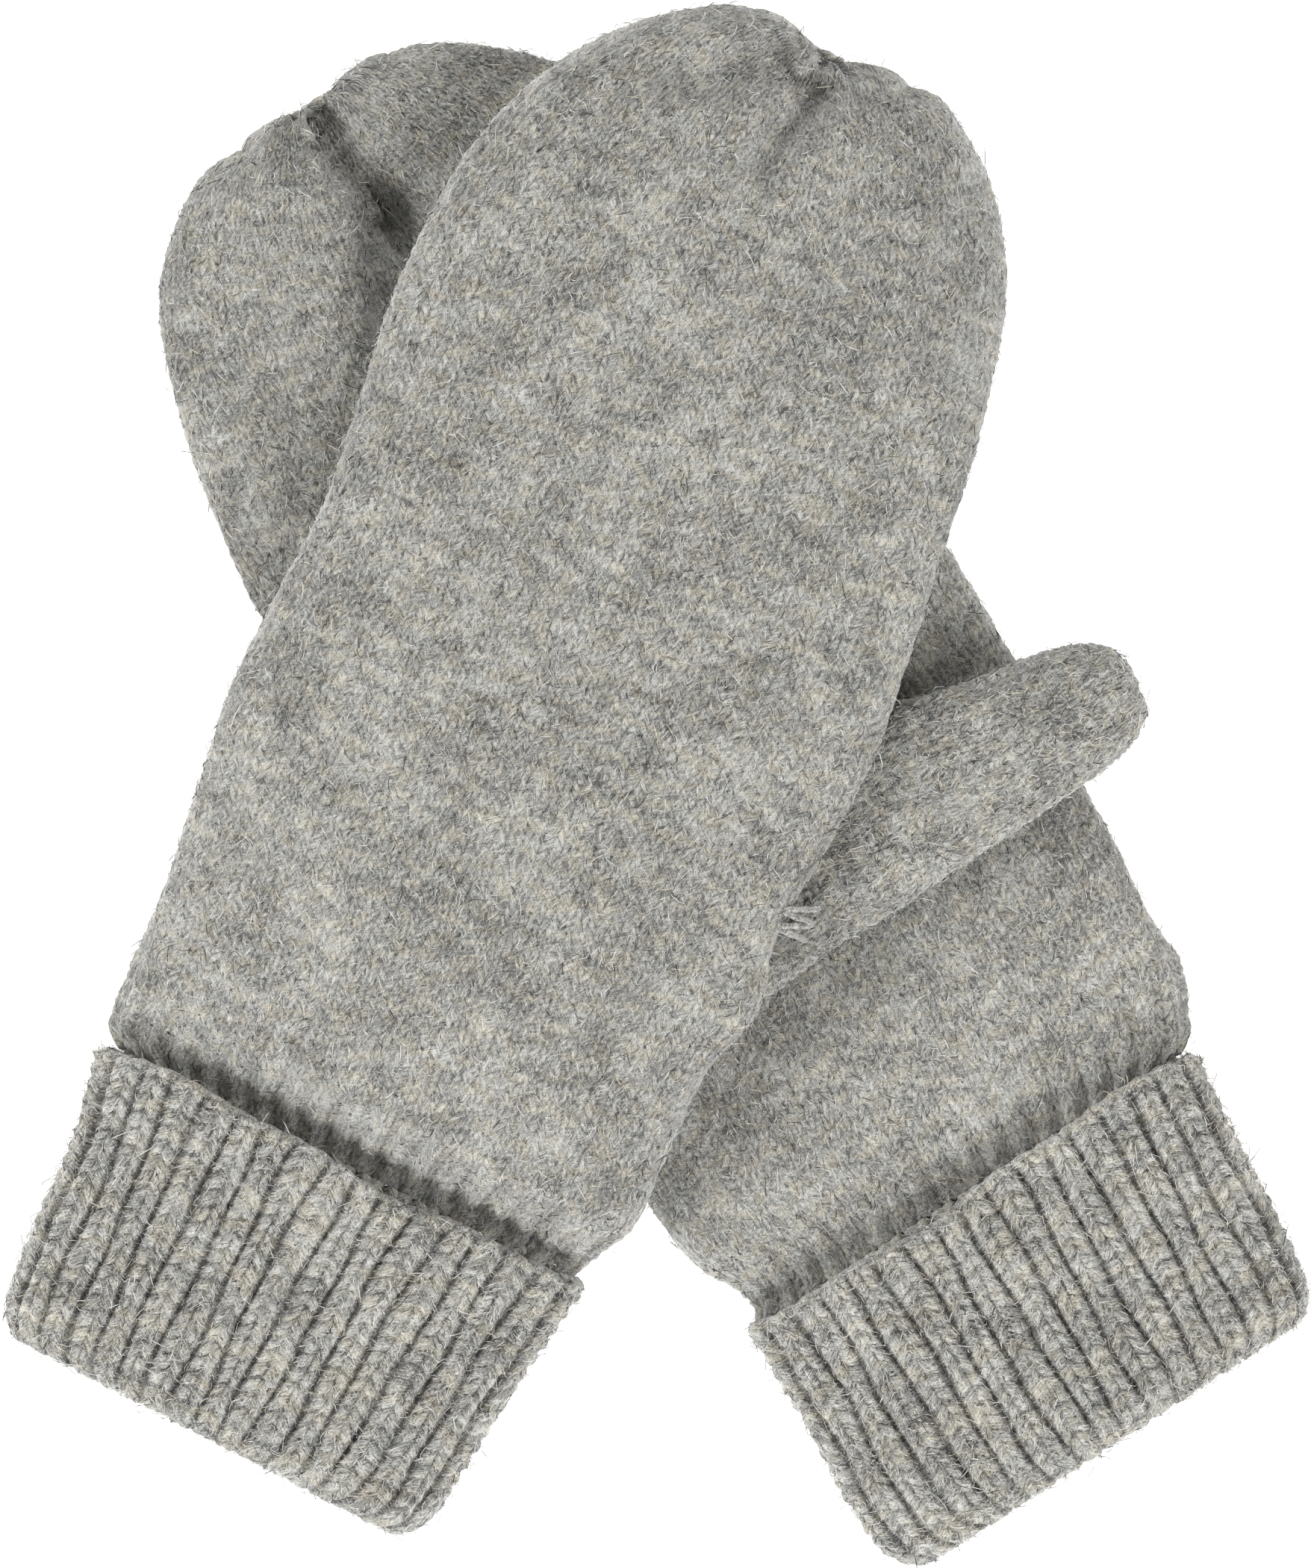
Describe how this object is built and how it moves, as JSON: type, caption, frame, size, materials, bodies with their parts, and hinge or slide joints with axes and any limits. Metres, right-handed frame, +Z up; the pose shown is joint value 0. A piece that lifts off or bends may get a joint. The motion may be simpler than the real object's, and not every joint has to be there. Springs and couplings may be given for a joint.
{
  "type": "pair of knitted wool mittens",
  "caption": "Pair of felted knit mittens with ribbed turn-up cuffs, laid flat palms down with the left mitten crossed over the right, thumbs that swing and cuffs that turn down.",
  "frame": {"origin": "middle of the pair's footprint, on the table it lies on", "axes": "+Z up from the table, +Y from the cuffs towards the fingertips, +X towards the right mitten's cuff"},
  "size_m": [0.2348, 0.2792, 0.0364],
  "materials": {
    "body_wool": "lightly felted stockinette in heathered light grey wool with cream flecks",
    "rib_wool": "ribbed knit in the same heathered grey wool",
    "yarn": "single strand of the same wool yarn"
  },
  "bodies": {
    "right_mitten": {"right_hand": "body_wool", "right_cuff_inner": "rib_wool", "right_crown_drawstring": "yarn", "right_thumb_join_stitches": "yarn"},
    "right_thumb": {"right_thumb": "body_wool", "right_thumb_drawstring": "yarn"},
    "right_cuff": {"right_cuff_turnup": "rib_wool", "right_cuff_edge": "rib_wool"},
    "left_mitten": {"left_hand": "body_wool", "left_cuff_inner": "rib_wool", "left_crown_drawstring": "yarn", "left_thumb_join_stitches": "yarn"},
    "left_thumb": {"left_thumb": "body_wool", "left_thumb_drawstring": "yarn"},
    "left_cuff": {"left_cuff_turnup": "rib_wool", "left_cuff_edge": "rib_wool"}
  },
  "joints": [
    {"name": "left_mitten_lift", "type": "slide", "parent": "right_mitten", "child": "left_mitten", "axis": [0, 0, 1], "range_m": [0, 0.12]},
    {"name": "right_thumb_swing", "type": "hinge", "parent": "right_mitten", "child": "right_thumb", "pos_m": [-0.01204, -0.03461, 0.0042], "axis": [0, 0, 1], "range_deg": [-6, 10]},
    {"name": "left_thumb_swing", "type": "hinge", "parent": "left_mitten", "child": "left_thumb", "pos_m": [0.00777, -0.02145, 0.0216], "axis": [0, 0, -1], "range_deg": [-24, 15]},
    {"name": "right_cuff_turn_down", "type": "slide", "parent": "right_mitten", "child": "right_cuff", "axis": [0.5446, -0.8387, 0], "range_m": [0, 0.048]},
    {"name": "left_cuff_turn_down", "type": "slide", "parent": "left_mitten", "child": "left_cuff", "axis": [-0.4602, -0.8878, 0], "range_m": [0, 0.048]}
  ]
}
